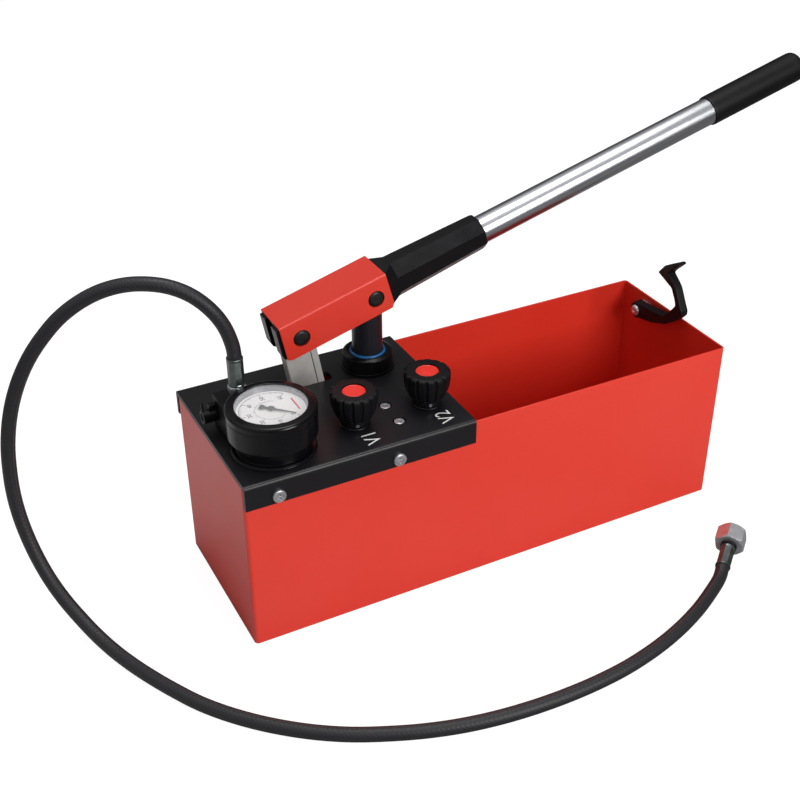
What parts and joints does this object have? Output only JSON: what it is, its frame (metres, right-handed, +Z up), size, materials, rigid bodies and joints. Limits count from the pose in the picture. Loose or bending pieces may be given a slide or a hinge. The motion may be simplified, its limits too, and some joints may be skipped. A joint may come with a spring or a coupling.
{
  "type": "hydrostatic test pump",
  "caption": "Hand lever test pump on an open steel water tank, with pressure gauge, shut-off valves and a hose for pressure testing pipework.",
  "frame": {"origin": "centre of the tank's underside", "axes": "+X along the tank towards its open end and the lever's grip, +Y to the back, +Z up"},
  "size_m": [0.8614, 0.3768, 0.421],
  "materials": {
    "red_paint": "satin",
    "cover_enamel": "satin",
    "black_plastic": "matte",
    "knob_plastic": "matte",
    "gauge_black": "satin",
    "grip_black": "satin",
    "black_steel": "satin",
    "plunger_steel": "satin",
    "zinc": "satin",
    "tube_zinc": "bright",
    "ferrule_zinc": "satin",
    "steel": "satin",
    "cast_grey": "matte",
    "brass": "satin",
    "cap_red": "gloss",
    "dial_white": "matte",
    "lens": "clear",
    "pointer_black": "matte",
    "hose_rubber": "matte",
    "seal_black": "matte",
    "seal_blue": "satin"
  },
  "bodies": {
    "pump": {"tank": "red_paint", "cover_plate": "cover_enamel", "cover_screw_front_left": "zinc", "cover_screw_front_right": "zinc", "cover_screw_rear_left": "zinc", "cover_screw_rear_right": "zinc", "valve_block": "steel", "block_screw_front": "zinc", "block_screw_rear": "zinc", "valve_bonnet_1": "black_steel", "valve_bonnet_2": "black_steel", "gauge_base": "gauge_black", "gauge_case": "gauge_black", "gauge_bezel": "gauge_black", "gauge_dial": "dial_white", "gauge_lens": "lens", "gauge_movement": "brass", "bourdon_tube": "brass", "outlet_block": "black_plastic", "side_plug": "black_plastic", "outlet_elbow": "steel", "hose_port_adapter": "zinc", "port_ferrule": "ferrule_zinc", "hose": "hose_rubber", "hose_end_ferrule": "ferrule_zinc", "hose_end_tail": "zinc", "pump_cylinder": "steel", "packing_seal": "seal_black", "gland_washer": "black_steel", "gland_collar": "black_steel", "wiper_seal": "seal_blue", "suction_strainer": "brass", "pressure_pipe": "steel", "link_bracket": "black_steel", "link_base_pin": "steel", "hook_spacer": "zinc", "hook_screw": "zinc", "hook_nut": "zinc"},
    "plunger": {"plunger": "plunger_steel"},
    "lever": {"lever_channel": "red_paint", "lever_socket": "black_steel", "lever_tube": "tube_zinc", "lever_grip": "grip_black", "lever_pin_link": "black_steel", "lever_pin_plunger": "black_steel"},
    "link": {"link": "cast_grey"},
    "hook": {"hook": "black_plastic"},
    "stem_1": {"valve_spindle_1": "steel"},
    "knob_1": {"knob_1": "knob_plastic", "knob_cap_1": "cap_red", "knob_grub_screw_1": "zinc"},
    "stem_2": {"valve_spindle_2": "steel"},
    "knob_2": {"knob_2": "knob_plastic", "knob_cap_2": "cap_red", "knob_grub_screw_2": "zinc"},
    "pointer": {"gauge_pointer": "pointer_black"},
    "swivel_nut": {"swivel_nut": "zinc"},
    "suction_ball": {"suction_ball": "steel"}
  },
  "joints": [
    {"name": "lever_hinge", "type": "hinge", "parent": "plunger", "child": "lever", "pos_m": [-0.0777, 0.0465, 0.2665], "axis": [0, -1, 0], "range_deg": [-19, 19.3]},
    {"name": "plunger_slide", "type": "slide", "parent": "pump", "child": "plunger", "axis": [0, 0, 1], "range_m": [-0.0262, 0.0266]},
    {"name": "link_hinge", "type": "hinge", "parent": "lever", "child": "link", "pos_m": [-0.15471, 0.0465, 0.24485], "axis": [0, -1, 0], "range_deg": [-24.1, 23.7]},
    {"name": "hook_hinge", "type": "hinge", "parent": "pump", "child": "hook", "pos_m": [0.25165, 0.045, 0.163], "axis": [-1, 0, 0], "range_deg": [-60, 50]},
    {"name": "gauge_pointer_turn", "type": "hinge", "parent": "pump", "child": "pointer", "pos_m": [-0.214, -0.0422, 0.221], "axis": [0, 0, -1], "range_deg": [0, 270]},
    {"name": "swivel_nut_turn", "type": "hinge", "parent": "pump", "child": "swivel_nut", "pos_m": [0.2158, -0.1816, 0.01715], "axis": [0.7524, 0.6308, 0.19], "continuous": true},
    {"name": "suction_ball_lift", "type": "slide", "parent": "pump", "child": "suction_ball", "axis": [0, 0, 1], "range_m": [0, 0.002]},
    {"name": "knob_1_turn", "type": "hinge", "parent": "stem_1", "child": "knob_1", "pos_m": [-0.134, -0.0422, 0.2055], "axis": [0, 0, 1], "range_deg": [0, 721]},
    {"name": "stem_1_rise", "type": "slide", "parent": "pump", "child": "stem_1", "axis": [0, 0, 1], "range_m": [0, 0.003]},
    {"name": "knob_2_turn", "type": "hinge", "parent": "stem_2", "child": "knob_2", "pos_m": [-0.059, -0.0422, 0.2055], "axis": [0, 0, 1], "range_deg": [0, 721]},
    {"name": "stem_2_rise", "type": "slide", "parent": "pump", "child": "stem_2", "axis": [0, 0, 1], "range_m": [0, 0.003]}
  ],
  "couplings": [
    {"joint": "plunger_slide", "follows": "lever_hinge", "m_per_rad": 0.0782},
    {"joint": "link_hinge", "follows": "lever_hinge", "ratio": -1.24},
    {"joint": "knob_1_turn", "follows": "stem_1_rise", "rad_per_m": 4188.8},
    {"joint": "knob_2_turn", "follows": "stem_2_rise", "rad_per_m": 4188.8}
  ]
}
